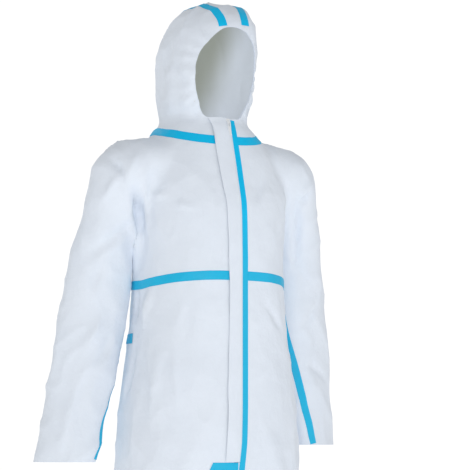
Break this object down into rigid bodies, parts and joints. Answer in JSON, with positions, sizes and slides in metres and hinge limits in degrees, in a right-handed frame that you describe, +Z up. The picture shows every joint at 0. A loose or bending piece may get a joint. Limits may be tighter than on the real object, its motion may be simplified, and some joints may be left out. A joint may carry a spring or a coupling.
{
  "type": "chemical protective suit",
  "caption": "Hooded one-piece protective coverall with front zip under a storm flap, taped seams and elastic cuffs, hem and face opening.",
  "frame": {"origin": "centre of the neck opening, level with the base of the wearer's neck", "axes": "+Z up, the front with the zip faces -Y, the suit's own left arm is on +X"},
  "size_m": [0.6556, 0.2772, 1.783],
  "materials": {
    "white_laminate": "matte white nonwoven laminate",
    "seam_tape": "satin blue heat-sealed tape",
    "elastic": "covered elastic",
    "zip_tape": "woven zip tape",
    "zip_plastic": "moulded nylon",
    "adhesive": "adhesive strip"
  },
  "bodies": {
    "torso": {"left_front_yoke": "white_laminate", "left_lower_front": "white_laminate", "left_lower_back": "white_laminate", "right_front_yoke": "white_laminate", "right_lower_front": "white_laminate", "right_lower_back": "white_laminate", "back_yoke": "white_laminate", "neck_tape_left": "seam_tape", "neck_tape_right": "seam_tape", "neck_tape_back": "seam_tape", "chest_tape_left": "seam_tape", "chest_tape_right": "seam_tape", "chest_tape_back": "seam_tape", "waist_elastic": "elastic", "waist_tape": "seam_tape", "zip_tape_left": "zip_tape", "zip_tape_right": "zip_tape", "zip_coil": "zip_plastic", "zip_bottom_stop": "zip_plastic", "flap_seam_tape": "seam_tape", "flap_end_tape": "seam_tape", "crotch_tape_front": "seam_tape", "crotch_tape_back": "seam_tape"},
    "hood": {"hood_crown_panel": "white_laminate", "hood_left_panel": "white_laminate", "hood_right_panel": "white_laminate", "hood_left_seam_tape": "seam_tape", "hood_right_seam_tape": "seam_tape", "face_opening_elastic": "elastic"},
    "chin_flap": {"chin_flap": "white_laminate", "chin_flap_adhesive": "adhesive"},
    "storm_flap": {"storm_flap": "white_laminate", "storm_flap_adhesive": "adhesive"},
    "zip_slider": {"zip_slider": "zip_plastic"},
    "pull_tab": {"zip_pull_tab": "zip_plastic"},
    "left_upper_arm": {"left_upper_sleeve": "white_laminate", "left_upper_sleeve_tape": "seam_tape"},
    "left_forearm": {"left_forearm_sleeve": "white_laminate", "left_forearm_tape": "seam_tape", "left_cuff_elastic": "elastic"},
    "left_thigh": {"left_thigh": "white_laminate", "left_thigh_tape": "seam_tape"},
    "left_shin": {"left_shin": "white_laminate", "left_shin_tape": "seam_tape", "left_ankle_elastic": "elastic"},
    "right_upper_arm": {"right_upper_sleeve": "white_laminate", "right_upper_sleeve_tape": "seam_tape"},
    "right_forearm": {"right_forearm_sleeve": "white_laminate", "right_forearm_tape": "seam_tape", "right_cuff_elastic": "elastic"},
    "right_thigh": {"right_thigh": "white_laminate", "right_thigh_tape": "seam_tape"},
    "right_shin": {"right_shin": "white_laminate", "right_shin_tape": "seam_tape", "right_ankle_elastic": "elastic"}
  },
  "joints": [
    {"name": "hood_tilt", "type": "hinge", "parent": "torso", "child": "hood", "pos_m": [0, -0.008, 0.035], "axis": [1, 0, 0], "range_deg": [-15, 10]},
    {"name": "left_shoulder_raise", "type": "hinge", "parent": "torso", "child": "left_upper_arm", "pos_m": [0.185, 0.015, -0.12], "axis": [0, -1, 0], "range_deg": [0, 70]},
    {"name": "left_elbow_bend", "type": "hinge", "parent": "left_upper_arm", "child": "left_forearm", "pos_m": [0.234, 0.046, -0.41], "axis": [-0.9848, 0, -0.1736], "range_deg": [0, 80]},
    {"name": "left_hip_bend", "type": "hinge", "parent": "torso", "child": "left_thigh", "pos_m": [0.098, 0, -0.83], "axis": [-1, 0, 0], "range_deg": [0, 60]},
    {"name": "left_knee_bend", "type": "hinge", "parent": "left_thigh", "child": "left_shin", "pos_m": [0.112, -0.009, -1.125], "axis": [1, 0, 0], "range_deg": [0, 75]},
    {"name": "right_shoulder_raise", "type": "hinge", "parent": "torso", "child": "right_upper_arm", "pos_m": [-0.185, 0.015, -0.12], "axis": [0, 1, 0], "range_deg": [0, 70]},
    {"name": "right_elbow_bend", "type": "hinge", "parent": "right_upper_arm", "child": "right_forearm", "pos_m": [-0.234, 0.046, -0.41], "axis": [-0.9848, 0, 0.1736], "range_deg": [0, 80]},
    {"name": "right_hip_bend", "type": "hinge", "parent": "torso", "child": "right_thigh", "pos_m": [-0.098, 0, -0.83], "axis": [-1, 0, 0], "range_deg": [0, 60]},
    {"name": "right_knee_bend", "type": "hinge", "parent": "right_thigh", "child": "right_shin", "pos_m": [-0.112, -0.009, -1.125], "axis": [1, 0, 0], "range_deg": [0, 75]},
    {"name": "chin_flap_open", "type": "hinge", "parent": "torso", "child": "chin_flap", "pos_m": [0.0093, -0.12526, -0.06], "axis": [0, 0.253, 0.9675], "range_deg": [0, 150]},
    {"name": "storm_flap_open", "type": "hinge", "parent": "torso", "child": "storm_flap", "pos_m": [0.0093, -0.1497, -0.4], "axis": [0, 0, 1], "range_deg": [0, 150]},
    {"name": "zip_travel", "type": "slide", "parent": "torso", "child": "zip_slider", "axis": [0, -0.253, -0.9675], "range_m": [0, 0.13]},
    {"name": "pull_tab_lift", "type": "hinge", "parent": "zip_slider", "child": "pull_tab", "pos_m": [0, -0.10367, 0.01987], "axis": [-1, 0, 0], "range_deg": [0, 22.5]}
  ],
  "couplings": [
    {"joint": "pull_tab_lift", "follows": "chin_flap_open", "ratio": 0.15}
  ]
}
